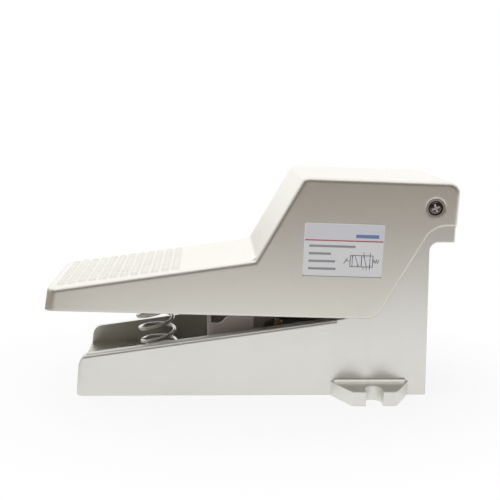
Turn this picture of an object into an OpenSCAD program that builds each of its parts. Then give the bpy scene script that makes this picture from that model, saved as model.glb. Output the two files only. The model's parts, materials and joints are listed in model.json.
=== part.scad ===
// Foot pedal air valve. A die-cast pedal, hinged at the rear of a die-cast base, pushes the
// spool of an upright five-port valve. A coil spring lifts the pedal and a hook lever can
// hold it down. Millimetres; +X is the hinge end, +Z up, the origin is under the middle of
// the footprint. The pedal is drawn in its own level frame and then tilted about the hinge.

/* [Overall] */
// Length from the pedal's nose to its rear face
overall_l = 232; // [217:1:247]
// Clear width beside the base, inside each pedal wall
side_gap = 0.5; // [0.4:0.1:1]
// Radial clearance of the turning and sliding fits
running_gap = 0.05; // [0.02:0.01:0.08]
// Clearance of a screw shank or pin that stays still in its hole
hole_gap = 0.05; // [0.02:0.01:0.1]

/* [Hinge] */
// Height of the hinge axis
pivot_z = 111.5; // [106:0.5:116]
// From the pedal's rear face to the hinge axis
pivot_inset = 13.6; // [12.5:0.1:16]
// Nose-up tilt of the pedal at rest
rest_tilt = 1.4; // [0:0.1:3]
// Travel of the pedal
press_angle = 8; // [4:0.5:9]
// Outside diameter of the hinge bushes
bush_d = 11; // [10:0.5:13]
// Length of the bosses inside the ears
ear_boss_l = 7; // [5:0.5:9]
// Screw thread diameter of the hinge
hinge_screw_d = 5; // [4:0.5:6]

/* [Pedal] */
// Width over the pedal's side walls
pedal_w = 70; // [66:1:80]
// Thickness of side walls, riser and hood
pedal_wall = 3; // [2.5:0.25:3.5]
// Thickness of the tread plate
tread_t = 4; // [3:0.5:5]
// Slope of the tread
tread_angle = 9.5; // [8:0.1:12]
// From the hinge forward to the foot of the riser
riser_reach = 99.7; // [90:0.1:105]
// From the hinge down to the foot of the riser
riser_drop = 33; // [30:0.1:37]
// Slope of the riser
riser_angle = 62; // [52:0.2:68]
// From the hinge up to the hood's top face
hood_rise = 14.8; // [13:0.1:16]
// From the hinge down to the lower edge of the skirts
skirt_drop = 65; // [60:0.2:67]
// From the hinge down to the lower edge behind the hinge
rear_drop = 9.9; // [9.5:0.1:11]
// Slope of the skirts' rear edge
skirt_angle = 62.5; // [55:0.5:70]
// From the hinge forward to the rear end of the skirts' lower edge
skirt_reach = 29; // [24:0.5:34]
// Rounding of the outer edges
edge_r = 2.6; // [1.5:0.1:3]
// Rounding of the nose corners, seen from above
nose_r = 6; // [4:0.5:10]
// Lean of the nose's front face
nose_rake = 8; // [0:0.5:10]
// Hollow rounding where tread and riser meet
crease_r = 6; // [3:0.5:10]
// Rounding where riser and hood meet
hood_front_r = 4; // [3:0.5:8]
// Rounding at the hood's rear
hood_rear_r = 7; // [4:0.5:8]
// Thickness of the ribs under the tread
rib_t = 3; // [2:0.5:4]
// Depth of the ribs under the tread
rib_h = 8; // [5:0.5:10]
// Distance between the two long ribs
rib_gap = 34; // [33:0.5:38]
// Distance between the ears that carry the striker
striker_gap = 12; // [10:0.5:13]

/* [Tread studs] */
// Distance from stud to stud
stud_pitch = 5.9; // [4.5:0.1:7]
// Height of a stud
stud_h = 1.2; // [0.8:0.1:1.6]
// Width of a stud at its foot
stud_foot = 4.6; // [3:0.1:4.8]
// Width of a stud at its top
stud_top = 2.6; // [1:0.1:2.9]
// Length of the studded field
stud_field_l = 72; // [40:1:90]
// Bare edge before and beside the field
stud_margin = 5; // [4:0.5:9]

/* [Base] */
// From the pedal's nose back to the foot of the base's front
front_inset = 16.1; // [14:0.1:20]
// From the hinge back to the foot of the base's rear wall
rear_reach = 1.8; // [0:0.1:3]
// Thickness of the side walls
base_wall = 5.5; // [4.5:0.5:6]
// Height of the side walls at the front
front_h = 23.5; // [20:0.5:26]
// Rounding of the side walls' front top corner
wall_front_r = 7; // [3:0.5:10]
// Slope of the side walls' top edge
wall_angle = 8.4; // [7:0.1:9.5]
// Rounding of the side walls' outer top edge
wall_edge_r = 2; // [1:0.1:3]
// Height of the floor
floor_z = 13; // [11:0.5:15]
// Thickness of the floor
floor_t = 5; // [4:0.5:6]
// Draft of the front
front_draft = 6.5; // [2:0.1:8]
// Draft of the rear wall
rear_draft = 1.9; // [0.5:0.1:2.5]
// Thickness of the rear wall at the top of the window
rear_wall = 5.2; // [4:0.1:6.5]
// Underside of the rear lip
lip_z = 91.5; // [89:0.5:93]
// Gap between the lip's top and the pedal edge that stops on it
stop_gap = 0.3; // [0.2:0.1:0.6]
// Radius of the hinge ears
ear_r = 9.4; // [8.5:0.1:9.4]

/* [Mounting] */
// Reach of a lug beyond the base wall
lug_reach = 17; // [15:0.5:24]
// Thickness of a lug
lug_t = 8.5; // [6:0.5:10]
// Length of a lug at the wall
lug_l = 47; // [40:1:50]
// Length of a lug at its outer end
lug_tip_l = 25.5; // [22:0.5:30]
// From the hinge forward to the slots
lug_inset = 31.9; // [30:0.1:40]
// Cove between a lug and the wall
lug_cove_r = 2.5; // [1.5:0.5:4]
// Width of the open slot
slot_w = 10; // [7:0.5:11]
// Depth of the slot from the lug's outer end
slot_depth = 9.5; // [8:0.5:12]
// Hole diameter in the floor
floor_hole_d = 6.5; // [5:0.5:8]
// Distance between the floor holes
floor_hole_gap = 33; // [28:1:36]
// From the foot of the base's front back to the floor holes
floor_hole_inset = 25; // [20:0.5:27]

/* [Return spring] */
// Outside diameter
spring_od = 23; // [20:0.5:25]
// Wire diameter
spring_wire = 2.3; // [1.8:0.1:2.6]
// Number of turns
spring_turns = 8; // [6:0.5:9]
// Angle at which the wire starts
spring_phase = 320; // [0:1:359]
// From the hinge forward to the spring's axis at the tread
spring_reach = 161.5; // [157:0.5:166]
// Free length taken up by the seat on the floor
spring_seat_h = 4; // [3.5:0.5:6]

/* [Valve] */
// From the hinge forward to the spool's axis
pusher_reach = 30.4; // [28:0.2:33]
// Bore of the valve body
bore_d = 14; // [13:0.5:15]
// Core diameter of the ports
port_d = 11.8; // [10:0.1:12]
// Length of the ports
port_l = 14; // [11:0.5:15]
// Height step from port to port
port_step = 9.5; // [9:0.1:10]
// Distance between the two port columns
port_columns = 22; // [20:0.5:23]
// Diameter of the drilling from a port to the bore
passage_d = 5; // [3:0.5:6]
// Width of the valve block
valve_w = 48; // [46:0.5:50]
// Height of the valve block
valve_h = 62; // [58:0.5:63]
// Thickness of the bottom cap
bottom_cap_t = 5; // [4.5:0.5:6]
// Thickness of the top cap
top_cap_t = 6; // [5:0.5:7]
// Diameter of the plunger
plunger_d = 8; // [7:0.5:9]
// Height of the plunger above the top cap
plunger_out = 8; // [7:0.5:9]
// Diameter of the tie bolts
tie_d = 4; // [3:0.5:4]
// Wall between the bore and the block's front
bore_wall = 7; // [5:0.5:9]
// Section of the spool's seals
seal_d = 1.65; // [1.3:0.05:1.8]
// Gap around the block in the rear window
window_gap = 0.4; // [0.3:0.1:0.8]
// Least clear width between the valve block and each base wall
block_gap = 0.5; // [0.3:0.1:2]

/* [Pusher] */
// Thread diameter of the pusher bolt
pusher_d = 8; // [6:1:8]
// Gap between the pusher and the plunger
pusher_gap = 0.3; // [0.3:0.05:0.6]
// Radius of the pusher's domed end
dome_r = 5; // [5:0.5:8]

/* [Lock] */
// From the hinge forward to the lever's pin
pin_reach = 105.4; // [103:0.2:108]
// From the lever's pin forward to the bracket's front
bracket_ahead = 21.5; // [20:0.5:24]
// From the lever's pin back to the rear edge of the bracket's cheeks
bracket_behind = 6; // [5:0.5:8]
// Extra length of the far cheek
far_cheek_more = 6; // [0:0.5:8]
// Height of the cheeks above the floor
bracket_h = 28; // [24:0.5:31]
// Width over the cheeks
bracket_w = 28; // [24:0.5:34]
// Sheet thickness of the bracket
sheet_t = 2.5; // [1.5:0.5:3]
// Outer radius of the bracket's two bends
bend_r = 5; // [4:0.5:6]
// Height of the lever's pin above the floor
pin_h = 11; // [9:0.5:13]
// From the pin forward to the striker, pedal up
striker_ahead = 8; // [7:0.5:9]
// Height of the striker above the pin, pedal up
striker_h = 32; // [31:0.5:33]
// From the pin back to the lock spring's lower end
anchor_behind = 21; // [20:0.5:23]
// Diameter of pin and striker
pin_d = 5; // [4:0.5:5]
// Swing of the lock lever
lock_angle = 12; // [10:0.5:15]
// Thickness of the lever
lever_t = 6; // [4:0.5:8]

/* [Name plate] */
// Length of the plate
plate_l = 45; // [30:1:50]
// Height of the plate
plate_h = 30; // [20:1:34]
// Thickness of the plate
plate_t = 0.6; // [0.3:0.1:1]
// From the hinge forward to the plate's middle
plate_reach = 50.3; // [48:0.1:54]
// From the hinge down to the plate's middle
plate_drop = 25.3; // [22:0.1:28]

/* [Hidden] */
$fn = 48;
pivot_x = overall_l / 2 - pivot_inset;
pivot = [pivot_x, pivot_z];
nose_x = pivot_x - (overall_l - pivot_inset - skirt_drop * sin(rest_tilt)) / cos(rest_tilt);
rear_x = pivot_x + pivot_inset;
base_front = overall_l / 2 - front_inset;
base_rear = pivot_x + rear_reach;
lug_x = pivot_x - lug_inset;
floor_hole_x = floor_hole_inset - base_front;
skirt_z = pivot_z - skirt_drop;
hood_z = pivot_z + hood_rise;
rear_edge_z = pivot_z - rear_drop;
foot = [pivot_x - riser_reach, pivot_z - riser_drop];
below_z = skirt_z - 6;
nose_top_x = nose_at(level_on(foot, tread_angle, nose_x));
inner_w = pedal_w - 2 * pedal_wall;
base_w = inner_w - 2 * side_gap;
channel_w = max(base_w - 2 * base_wall, valve_w + 2 * block_gap);
lip_top = min(for_rest([rear_x, rear_edge_z]).y, for_rest([rear_x - pedal_wall, rear_edge_z]).y) - stop_gap;
lip_x = rear_x;
rear_inner = base_rear - lip_z * tan(rear_draft) - rear_wall;
spool_x = pivot_x - pusher_reach;
wall_step_x = spool_x - 14;
valve_z = floor_z + bottom_cap_t;
valve_top = valve_z + valve_h;
port_z = valve_z + valve_h / 2;
boss_x = rear_inner + rear_wall - 0.6;
boss_w = port_columns + port_d + 8;
boss_h = 4 * port_step + port_d + 3;
valve_front = spool_x - bore_d / 2 - bore_wall;
valve_rear = rear_inner - hole_gap;
plunger_top = valve_top + top_cap_t + plunger_out;
stroke = pusher_reach * press_angle * PI / 180;
spool_r = bore_d / 2 - running_gap;
spool_half = 2.5 * port_step + 3.2;
spool_mid = port_z + stroke / 2;
spool_pocket = 8;
pusher_end = [spool_x, plunger_top + pusher_gap + dome_r];
pusher_mid = in_pedal(pusher_end);
boss_end_z = hood_z - pedal_wall - 10;
nut_h = 5;
ribs_y = rib_gap / 2;
striker_ear_y = (striker_gap + rib_t) / 2;
tread_under = [foot.x + tread_t * sin(tread_angle), foot.y - tread_t * cos(tread_angle)];
spring_top = [pivot_x - spring_reach, level_on(tread_under, tread_angle, pivot_x - spring_reach)];
spring_mean_r = (spring_od - spring_wire) / 2;
spring_lean = tread_angle - rest_tilt;
spring_top_rest = for_rest(spring_top);
spring_span = (spring_top_rest.y - floor_z) / cos(spring_lean) - spring_seat_h;
pin = [pivot_x - pin_reach, floor_z + pin_h];
bracket_front = pin.x - bracket_ahead;
bracket_rear = pin.x + bracket_behind;
striker_rest = pin + [-striker_ahead, striker_h];
striker = in_pedal(striker_rest);
striker_down = turned(striker, rest_tilt - press_angle, pivot);
claw = striker_down - pin;
tail_hole = [19, 21.4];
tail_rest = turned(pin + tail_hole, lock_angle, pin);
anchor = [pin.x + anchor_behind, floor_z + sheet_t + 3.2];
lock_wire = 0.9;
lock_mean_r = 1.9;
hook_lift = 0.3;
hook_hole_d = 2.6;
hook_sheet_t = 1.6;
tie_y = valve_w / 2 - 4;
tie_x = [valve_front + 5, rear_inner - 5];
hinge_head_d = bush_d - 3.2;
bush_end = pedal_w / 2 - 0.2;
head_seat = base_w / 2 + 1.4;
ear_in = channel_w / 2 - ear_boss_l;

// A point p turned about c in the side view; positive lifts what lies ahead of c
function turned(p, a, c) = [
    c.x + (p.x - c.x) * cos(a) + (p.y - c.y) * sin(a),
    c.y - (p.x - c.x) * sin(a) + (p.y - c.y) * cos(a)
];
function nose_at(z) = nose_x + (z - skirt_z) * tan(nose_rake);
function for_rest(p) = turned(p, rest_tilt, pivot);
function in_pedal(p) = turned(p, -rest_tilt, pivot);

// Height at x of the line through p that rises at angle a
function level_on(p, a, x) = p.y + (x - p.x) * tan(a);

// Crossing of the line through p at angle a with the line through q at angle b
function meet(p, a, q, b) =
    let (s = ((q.x - p.x) * sin(b) - (q.y - p.y) * cos(b)) / sin(b - a))
    p + s * [cos(a), sin(a)];

// A closed outline whose corners [x, y, r] are rounded with radius r
function rounded(c, steps = 6) = [
    for (i = [0 : len(c) - 1])
        let (
            p = [c[i].x, c[i].y],
            u = unit([c[(i + len(c) - 1) % len(c)].x, c[(i + len(c) - 1) % len(c)].y] - p),
            v = unit([c[(i + 1) % len(c)].x, c[(i + 1) % len(c)].y] - p),
            half = acos(max(-1, min(1, u * v))) / 2,
            middle = p + unit(u + v) * c[i][2] / sin(half),
            from = p + u * c[i][2] / tan(half) - middle,
            turn = (180 - 2 * half) * sign(u.x * v.y - u.y * v.x)
        )
        each c[i][2] <= 0 ? [p] : [
            for (k = [0 : steps])
                let (a = -turn * k / steps)
                middle + [from.x * cos(a) - from.y * sin(a), from.x * sin(a) + from.y * cos(a)]
        ]
];
function unit(v) = v / norm(v);

// A smooth tube of diameter d along a list of points
module tube(path, d, sides = 8) {
    last = len(path) - 1;
    dirs = [for (i = [0 : last]) unit(path[min(i + 1, last)] - path[max(i - 1, 0)])];
    first = unit(cross(dirs[0], abs(dirs[0].z) < 0.8 ? [0, 0, 1] : [1, 0, 0]));
    ups = [
        for (i = 0, n = first; i <= last; i = i + 1, n = i > last ? n : unit(n - dirs[i] * (n * dirs[i]))) n
    ];
    points = [
        for (i = [0 : last], k = [0 : sides - 1])
            path[i] + d / 2 * (ups[i] * cos(360 * k / sides) + cross(dirs[i], ups[i]) * sin(360 * k / sides))
    ];
    walls = [
        for (i = [0 : last - 1], k = [0 : sides - 1])
            let (n = (k + 1) % sides)
            each [
                [i * sides + k, i * sides + n, (i + 1) * sides + n],
                [i * sides + k, (i + 1) * sides + n, (i + 1) * sides + k]
            ]
    ];
    start = [for (k = [sides - 1 : -1 : 0]) k];
    end = [for (k = [0 : sides - 1]) last * sides + k];
    polyhedron(points, [for (f = concat([start], walls, [end])) [for (j = [len(f) - 1 : -1 : 0]) f[j]]]);
}

// Centre line of a compression spring that stands on z = 0, with closed end turns
function coil_path(mean_r, wire, turns, height, phase, steps = 16) =
    let (
        closed = 1.12 * wire,
        rise = (height - wire - 2 * closed) / (turns - 2)
    )
    [
        for (i = [0 : turns * steps])
            let (
                t = i / steps,
                z = t < 1 ? closed * t
                    : t > turns - 1 ? height - wire - closed * (turns - t)
                    : closed + rise * (t - 1)
            )
            [mean_r * cos(phase + 360 * t), mean_r * sin(phase + 360 * t), wire / 2 + z]
    ];

// A bar of the given width, lying along Y, that extrudes an outline of the side view
module across(outline, width, y = 0) {
    translate([0, y + width / 2, 0])
        rotate([90, 0, 0])
            linear_extrude(width) polygon(outline);
}

// A round bar along Y with its middle at p
module bar(p, d, width, y = 0) {
    translate([p.x, y + width / 2, p.y])
        rotate([90, 0, 0])
            cylinder(d = d, h = width);
}

// A roller along Y with rounded ends, for the pedal's outer shape
module roller(p, r) {
    arc = [for (k = [0 : 4]) edge_r * [sin(22.5 * k), 1 - cos(22.5 * k)]];
    translate([p.x, 0, p.y])
        rotate([90, 0, 0])
            rotate_extrude($fn = 32)
                polygon(concat(
                    [[0, -pedal_w / 2]],
                    [for (a = arc) [r - edge_r + a.x, a.y - pedal_w / 2]],
                    [for (k = [4 : -1 : 0]) [r - edge_r + arc[k].x, pedal_w / 2 - arc[k].y]],
                    [[0, pedal_w / 2]]
                ));
}

// A corner of the pedal's nose: a rounded top rim at height top and a disc below the skirts
module nose_post(y, top) {
    arc = [for (k = [0 : 4]) edge_r * [cos(22.5 * k), sin(22.5 * k)]];
    rim_z = top - edge_r;
    translate([nose_at(rim_z) + nose_r, y, 0])
        rotate_extrude($fn = 32)
            polygon(concat(
                [[0, rim_z - 0.5], [nose_r, rim_z - 0.5]],
                [for (a = arc) [nose_r - edge_r + a.x, rim_z + a.y]],
                [[0, top]]
            ));
    translate([nose_at(below_z) + nose_r, y, below_z]) cylinder(r = nose_r, h = 0.5, $fn = 32);
}

// Moves what is drawn in the pedal's level frame into its place at rest
module at_rest() {
    translate([pivot_x, 0, pivot_z])
        rotate([0, rest_tilt, 0])
            translate([-pivot_x, 0, -pivot_z]) children();
}

// Frame on the tread's top or under face, x up the slope and z out of the tread
module on_tread(p) {
    translate([p.x, 0, p.y]) rotate([0, -tread_angle, 0]) children();
}

// Outer form of the tread half of the pedal
module tread_form() {
    rim = level_on(foot, tread_angle, nose_top_x + edge_r) - edge_r / cos(tread_angle) + edge_r;
    back = foot.x + 18;
    hull() {
        for (s = [-1, 1]) nose_post(s * (pedal_w / 2 - nose_r), rim);
        roller([back, level_on(foot, tread_angle, back) - edge_r / cos(tread_angle)], edge_r);
        roller([back, below_z + edge_r], edge_r);
    }
}

// Outer form of the hood half of the pedal
module hood_form() {
    front_in = foot + hood_front_r * [sin(riser_angle), -cos(riser_angle)];
    low_in = foot + edge_r * [sin(riser_angle), -cos(riser_angle)];
    hull() {
        roller(meet(front_in, riser_angle, [0, hood_z - hood_front_r], 0), hood_front_r);
        roller(meet(low_in, riser_angle, [0, below_z + edge_r], 0), edge_r);
        roller([rear_x - hood_rear_r, hood_z - hood_rear_r], hood_rear_r);
        roller([rear_x - edge_r, below_z + edge_r], edge_r);
    }
}

// Hollow rounding at the foot of the riser, sunk a little into the faces that it joins
module crease() {
    bisector = (tread_angle + riser_angle) / 2;
    inwards = [sin(bisector), -cos(bisector)];
    corner = foot + 0.15 * inwards;
    heel = foot + 1.8 * inwards;
    front = corner - crease_r * [cos(tread_angle), sin(tread_angle)];
    back = corner + crease_r * [cos(riser_angle), sin(riser_angle)];
    across(rounded([
        [front.x, front.y, 0],
        [corner.x, corner.y, crease_r],
        [back.x, back.y, 0],
        [heel.x, heel.y, 0]
    ]), pedal_w - 2 * edge_r);
}

// Everything under the skirts' edge, which is cut away
module below_skirts() {
    edge_foot = [pivot_x - skirt_reach, skirt_z];
    edge_top = meet(edge_foot, skirt_angle, [0, rear_edge_z], 0);
    across(rounded([
        [nose_x - 10, below_z - 10, 0],
        [nose_x - 10, skirt_z, 0],
        [edge_foot.x, edge_foot.y, 10],
        [edge_top.x, edge_top.y, 14],
        [rear_x + 10, rear_edge_z, 0],
        [rear_x + 10, below_z - 10, 0]
    ], 10), pedal_w + 10);
}

// Hollow under the tread and the hood
module pedal_hollow() {
    riser_in = foot + pedal_wall * [sin(riser_angle), -cos(riser_angle)];
    ceiling = hood_z - pedal_wall;
    knee = meet(tread_under, tread_angle, riser_in, riser_angle);
    top = meet(riser_in, riser_angle, [0, ceiling], 0);
    across(rounded([
        [nose_at(below_z - 20) + pedal_wall, below_z - 20, 0],
        [nose_top_x + pedal_wall, level_on(tread_under, tread_angle, nose_top_x + pedal_wall), 1.5],
        [knee.x, knee.y, 0],
        [top.x, top.y, 3],
        [rear_x - pedal_wall, ceiling, 4],
        [rear_x - pedal_wall, below_z - 20, 0]
    ]), inner_w);
}

// Rows of flat-topped studs, as the overlap of two toothed slabs
module studs() {
    columns = floor((stud_field_l - stud_foot) / stud_pitch) + 1;
    rows = floor((pedal_w - 2 * stud_margin - stud_foot) / stud_pitch) + 1;
    start = (nose_top_x - foot.x) / cos(tread_angle) + stud_margin + stud_foot / 2;
    slab = 0.8;
    module teeth(count, first) {
        polygon(concat(
            [[first - stud_foot / 2, -slab]],
            [
                for (i = [0 : count - 1], p = [[-stud_foot, 0], [-stud_top, 1], [stud_top, 1], [stud_foot, 0]])
                    [first + i * stud_pitch + p.x / 2, p.y * stud_h]
            ],
            [[first + (count - 1) * stud_pitch + stud_foot / 2, -slab]]
        ));
    }
    on_tread(foot)
        intersection() {
            translate([0, pedal_w / 2, 0])
                rotate([90, 0, 0])
                    linear_extrude(pedal_w) teeth(columns, start);
            translate([start - 2 * stud_pitch, 0, 0])
                rotate([90, 0, 90])
                    linear_extrude(stud_field_l + 2 * stud_pitch) teeth(rows, -(rows - 1) / 2 * stud_pitch);
        }
}

// Two long ribs and three cross ribs under the tread, with the ears that carry the striker
module pedal_ribs() {
    deep = tread_under + rib_h * [sin(tread_angle), -cos(tread_angle)];
    inside = foot + 1.5 * [sin(tread_angle), -cos(tread_angle)];
    front = nose_top_x + 1;
    back = foot.x + 6;
    long_rib = [
        [front, level_on(inside, tread_angle, front)],
        [back, level_on(inside, tread_angle, back)],
        [back, level_on(deep, tread_angle, back)],
        [front + 14, level_on(deep, tread_angle, front + 14)],
        [front, level_on(deep, tread_angle, front) + 4]
    ];
    for (s = [-1, 1]) {
        across(long_rib, rib_t, s * ribs_y);
        across([
            [striker.x - pin_d - 6, level_on(inside, tread_angle, striker.x - pin_d - 6)],
            [striker.x - pin_d, striker.y],
            [striker.x + pin_d, striker.y],
            [striker.x + pin_d + 6, level_on(inside, tread_angle, striker.x + pin_d + 6)]
        ], rib_t, s * striker_ear_y);
        bar(striker, 2 * pin_d, rib_t, s * striker_ear_y);
    }
    for (x = [nose_x + 28, spring_top.x + spring_od / 2 + 5, foot.x - 5])
        across([
            [x, level_on(inside, tread_angle, x)],
            [x + rib_t, level_on(inside, tread_angle, x + rib_t)],
            [x + rib_t, level_on(deep, tread_angle, x + rib_t) + 3],
            [x, level_on(deep, tread_angle, x) + 3]
        ], inner_w + 1);
}

module pedal_casting() {
    color("silver")
        at_rest()
            difference() {
                union() {
                    difference() {
                        union() {
                            tread_form();
                            hood_form();
                        }
                        pedal_hollow();
                        below_skirts();
                    }
                    crease();
                    studs();
                    pedal_ribs();
                    on_tread(spring_top)
                        translate([0, 0, -5]) cylinder(d = spring_od - 2 * spring_wire - 0.8, h = 7);
                    translate([pusher_mid.x, 0, boss_end_z])
                        cylinder(d = 2 * pusher_d, h = hood_z - pedal_wall / 2 - boss_end_z);
                }
                bar(pivot, bush_d, pedal_w + 10);
                bar(striker, pin_d + 2 * hole_gap, striker_gap + 4 * rib_t);
                translate([pusher_mid.x, 0, boss_end_z - 1])
                    cylinder(d = pusher_d + 2 * hole_gap, h = hood_z - pedal_wall - boss_end_z);
            }
}

module name_plate() {
    middle = [pivot_x - plate_reach, pivot_z - plate_drop];
    corner = 1.2;
    color("lavender")
        at_rest()
            across(rounded([
                for (c = [[-1, -1], [1, -1], [1, 1], [-1, 1]])
                    [middle.x + c.x * plate_l / 2, middle.y + c.y * plate_h / 2, corner]
            ]), plate_t, -(pedal_w + plate_t) / 2);
}

// Side outline of the base without its ears
function base_outline() =
    let (
        front_top = meet([-base_front, 0], 90 - front_draft, [-base_front, front_h], wall_angle),
        wall_at = [-base_front, front_h],
        rear_at = function(z) base_rear - z * tan(rear_draft)
    )
    rounded([
        [-base_front, 0, 0.8],
        [front_top.x, front_top.y, wall_front_r],
        [wall_step_x, level_on(wall_at, wall_angle, wall_step_x), 8],
        [pivot_x - ear_r * sin(60), pivot_z + ear_r * cos(60), 0],
        [pivot_x, pivot_z, 0],
        [pivot_x + ear_r, pivot_z, 0],
        [pivot_x + ear_r, lip_top, 0],
        [lip_x, lip_top, 1.2],
        [lip_x, lip_z, 1.2],
        [rear_at(lip_z), lip_z, 5],
        [rear_at(0), 0, 0.8]
    ]);

// Plan of the base with rounded corners, as an upright block
module base_block() {
    front_r = 4;
    lip_r = 1.5;
    half = base_w / 2;
    translate([0, 0, -1])
        linear_extrude(pivot_z + 31)
            polygon(rounded([
                [-base_front, -half, front_r],
                [lip_x, -half, lip_r],
                [lip_x, half, lip_r],
                [-base_front, half, front_r]
            ]));
}

module lug() {
    cove_l = lug_l - 2 * lug_cove_r;
    difference() {
        union() {
            linear_extrude(lug_t)
                polygon(rounded([
                    [lug_x - lug_l / 2, base_w / 2 - 1, 0],
                    [lug_x + lug_l / 2, base_w / 2 - 1, 0],
                    [lug_x + lug_tip_l / 2, base_w / 2 + lug_reach, 3],
                    [lug_x - lug_tip_l / 2, base_w / 2 + lug_reach, 3]
                ]));
            translate([lug_x - cove_l / 2, base_w / 2, lug_t])
                rotate([90, 0, 90])
                    linear_extrude(cove_l)
                        difference() {
                            translate([-1, -1]) square(lug_cove_r + 1);
                            translate([lug_cove_r, lug_cove_r]) circle(r = lug_cove_r);
                        }
        }
        translate([lug_x, base_w / 2 + lug_reach - slot_depth + slot_w / 2, -1]) {
            cylinder(d = slot_w, h = lug_t + 2);
            translate([-slot_w / 2, 0, 0]) cube([slot_w, slot_depth, lug_t + 2]);
        }
    }
}

// What the rounding takes off the outer top edge of the wall on the far side
module wall_edge() {
    length = (wall_step_x - 8 + base_front) / cos(wall_angle);
    translate([-base_front, base_w / 2, front_h])
        rotate([0, -wall_angle, 0])
            rotate([90, 0, 90])
                linear_extrude(length)
                    translate([-wall_edge_r, -wall_edge_r])
                        difference() {
                            square(wall_edge_r + 1);
                            circle(r = wall_edge_r);
                        }
}

// Ribs and bosses in the hollow under the floor
module floor_ribs() {
    depth = floor_z - floor_t / 2;
    for (x = [-base_front + 48, -8, 34])
        translate([x, -channel_w / 2 - 1, 1.5]) cube([3, channel_w + 2, depth - 1.5]);
    for (s = [-1, 1])
        translate([-base_front + 3, s * channel_w / 6 - 1.5, 1.5])
            cube([base_front + rear_inner - 3, 3, depth - 1.5]);
    for (s = [-1, 1])
        translate([floor_hole_x, s * floor_hole_gap / 2, 0]) cylinder(d = floor_hole_d + 7, h = depth);
    for (x = tie_x, s = [-1, 1])
        translate([x, s * tie_y, 1.5]) cylinder(d = tie_d + 5, h = depth - 1.5);
}

module base_casting() {
    seat = spring_top_rest - (spring_span + spring_seat_h) * [-sin(spring_lean), cos(spring_lean)];
    color("lightgrey")
        difference() {
            union() {
                difference() {
                    union() {
                        intersection() {
                            across(base_outline(), base_w);
                            base_block();
                        }
                        bar(pivot, 2 * ear_r, base_w);
                    }
                    translate([-base_front - 20, -channel_w / 2, floor_z])
                        cube([base_front + 20 + rear_inner, channel_w, pivot_z + 20]);
                    translate([rear_inner - 8, -channel_w / 2, lip_top])
                        cube([40, channel_w, pivot_z]);
                    translate([-base_front + base_wall, -channel_w / 2, -1])
                        cube([base_front - base_wall + rear_inner, channel_w, floor_z - floor_t + 1]);
                    translate([rear_inner - 1, -boss_w / 2 - window_gap, port_z - boss_h / 2 - window_gap])
                        cube([40, boss_w + 2 * window_gap, boss_h + 2 * window_gap]);
                    wall_edge();
                    mirror([0, 1, 0]) wall_edge();
                }
                floor_ribs();
                for (s = [-1, 1]) {
                    bar(pivot, 16, channel_w / 2 - ear_in + 1, s * (channel_w / 2 + ear_in + 1) / 2);
                    translate([floor_hole_x, s * floor_hole_gap / 2, floor_z - 1])
                        cylinder(d = floor_hole_d + 6, h = 2);
                }
                lug();
                mirror([0, 1, 0]) lug();
                intersection() {
                    translate([seat.x, 0, seat.y])
                        rotate([0, -spring_lean, 0])
                            translate([0, 0, -12]) {
                                cylinder(d = spring_od + 3, h = 12 + spring_seat_h);
                                cylinder(d = spring_od - 2 * spring_wire - 0.8, h = 16 + spring_seat_h);
                            }
                    translate([-base_front, -base_w / 2, floor_z - 2]) cube([base_front, base_w, 40]);
                }
            }
            for (s = [-1, 1]) {
                ear_l = base_w / 2 - ear_in + 2;
                bar(pivot, hinge_screw_d + 2 * hole_gap, ear_l, s * (base_w / 2 + ear_in - 2) / 2);
                translate([floor_hole_x, s * floor_hole_gap / 2, -1])
                    cylinder(d = floor_hole_d, h = floor_z + 4);
            }
            for (x = tie_x, s = [-1, 1])
                translate([x, s * tie_y, 4]) cylinder(d = tie_d + 2 * hole_gap, h = floor_z);
            for (x = bracket_screw_x)
                translate([x, 0, 4]) cylinder(d = tie_d + 2 * hole_gap, h = floor_z);
        }
}

module pivot_bushes() {
    length = bush_end - base_w / 2;
    color("dimgrey")
        for (s = [-1, 1])
            difference() {
                bar(pivot, bush_d - 2 * running_gap, length, s * (base_w / 2 + bush_end) / 2);
                bar(pivot, hinge_screw_d + 2 * hole_gap, 3 * length, s * bush_end);
                bar(pivot, hinge_head_d + 0.4, length, s * (head_seat + length / 2));
            }
}

module pivot_screws() {
    head_h = 2.2;
    low = ear_in + 1 - head_seat;
    r = hinge_screw_d / 2;
    head_r = hinge_head_d / 2;
    color("slategrey")
        for (s = [-1, 1])
            translate([pivot_x, s * head_seat, pivot_z])
                rotate([-90 * s, 0, 0])
                    difference() {
                        rotate_extrude()
                            polygon([
                                [0, low], [r - 0.6, low], [r, low + 0.6], [r, 0], [head_r, 0],
                                [head_r, head_h * 0.45], [head_r - 0.7, head_h * 0.8],
                                [head_r - 2, head_h], [0, head_h]
                            ]);
                        for (a = [20, 110])
                            rotate([0, 0, a])
                                translate([-r, -0.55, head_h - 1.5]) cube([2 * r, 1.1, 3]);
                    }
}

module return_spring() {
    middle = spring_top_rest - spring_span * [-sin(spring_lean), cos(spring_lean)];
    color("gainsboro")
        translate([middle.x, 0, middle.y])
            rotate([0, -spring_lean, 0])
                translate([0, 0, 0.15])
                    tube(
                        coil_path(spring_mean_r, spring_wire, spring_turns, spring_span - 0.3, spring_phase),
                        spring_wire,
                        10
                    );
}

// Middle of port i: 0 to 4 from the lowest up, the odd ones in the second column
function port_at(i) = [(i % 2 == 0 ? -1 : 1) * port_columns / 2, port_z + (i - 2) * port_step];

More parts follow.
